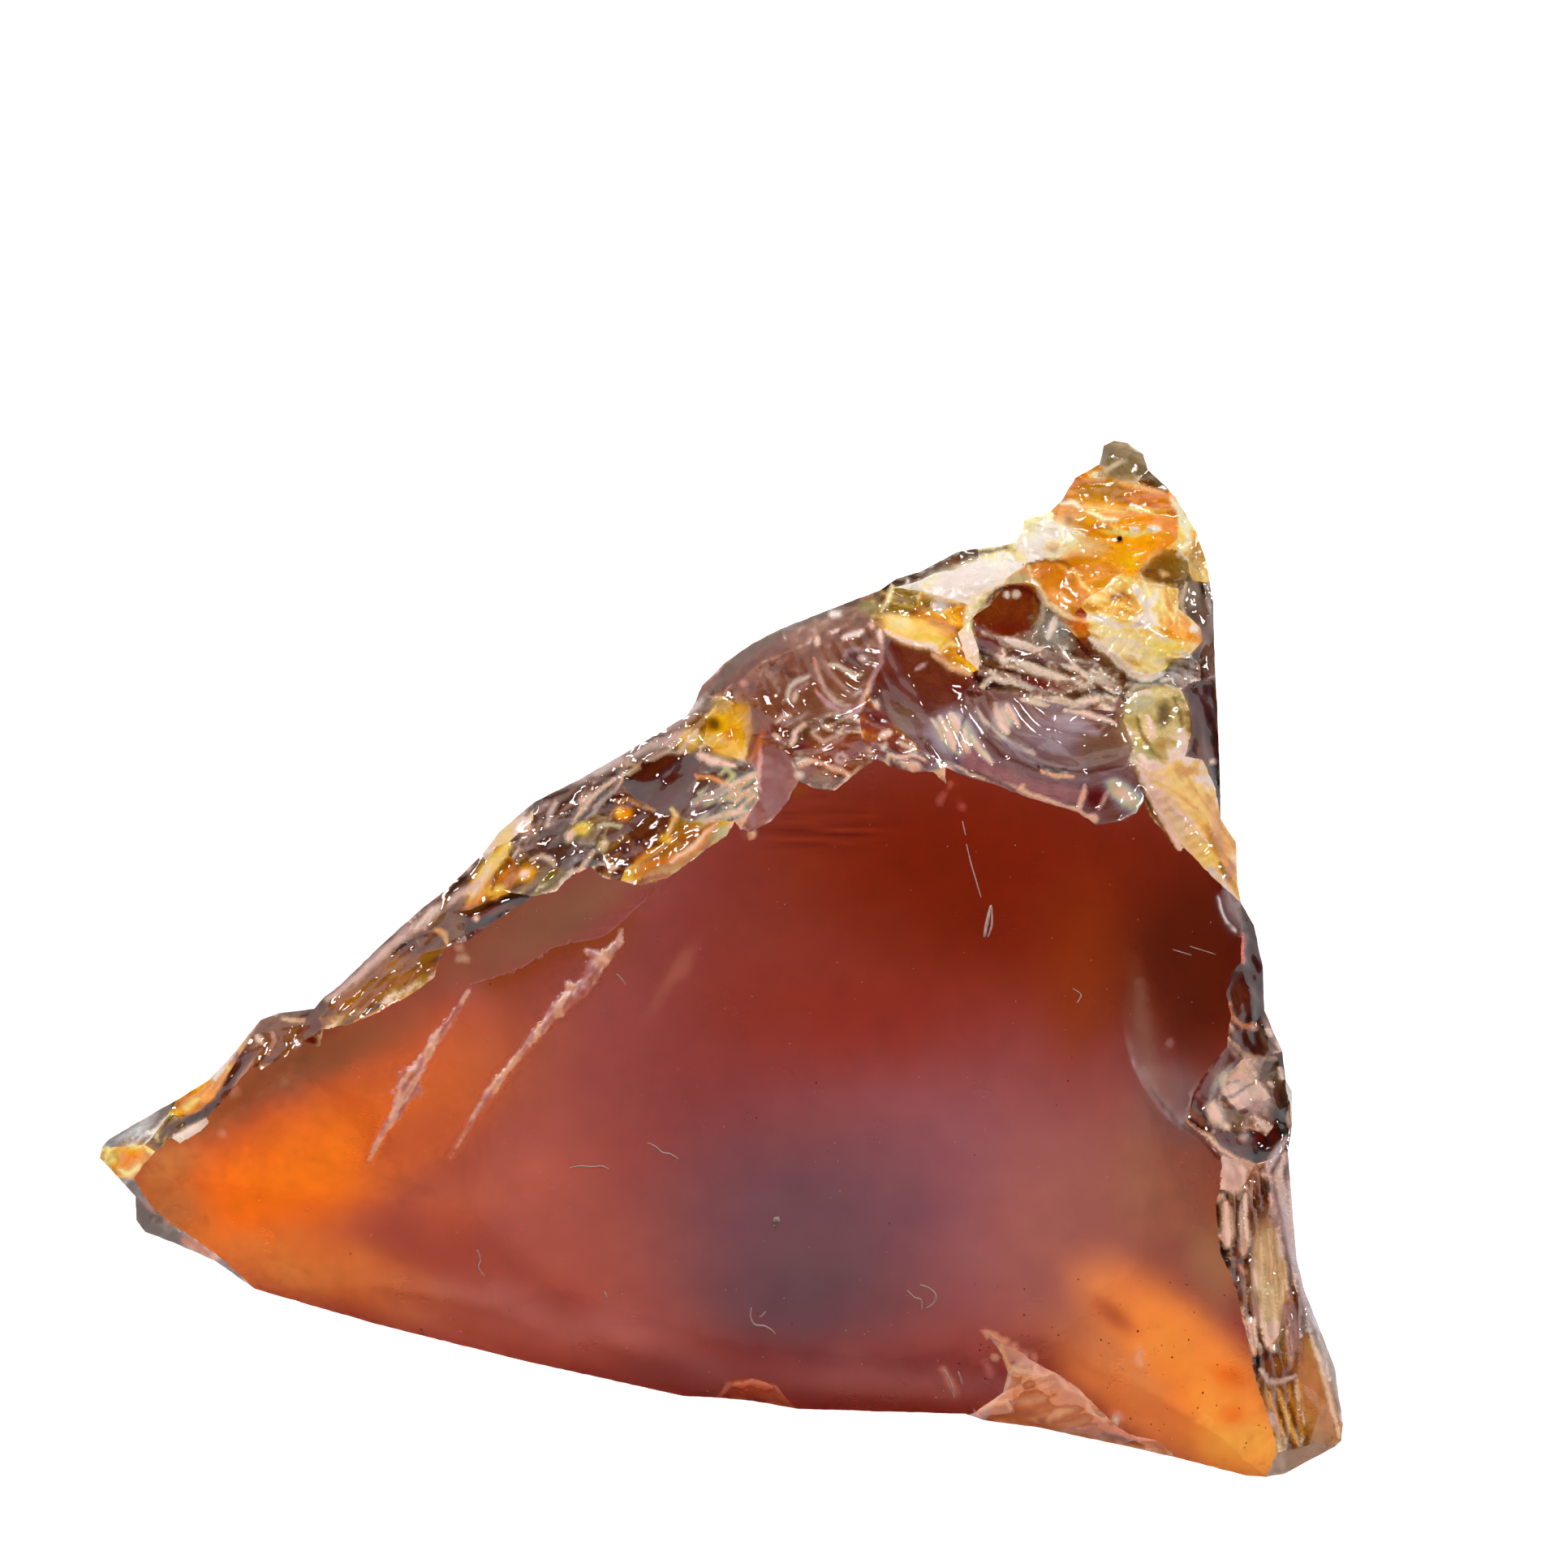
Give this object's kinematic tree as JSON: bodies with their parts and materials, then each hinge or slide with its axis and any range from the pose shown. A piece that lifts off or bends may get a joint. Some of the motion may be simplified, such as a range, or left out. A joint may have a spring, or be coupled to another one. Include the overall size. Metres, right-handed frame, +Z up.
{
  "type": "raw amber piece",
  "caption": "Raw amber chip: one broken wedge of natural resin with a large domed satin face, chipped flanks and a crusted apex, lying on its flat break face.",
  "frame": {"origin": "centre of the bounding box in X and Y, on the plane that the piece rests on", "axes": "+X along the long side, +Y towards the crusted apex, +Z up out of the large domed face"},
  "size_m": [0.0426, 0.0356, 0.0122],
  "materials": {
    "amber": "see-through resin, satin on the large face, glassy on the chips"
  },
  "bodies": {
    "root": {"amber": "amber"}
  },
  "joints": []
}
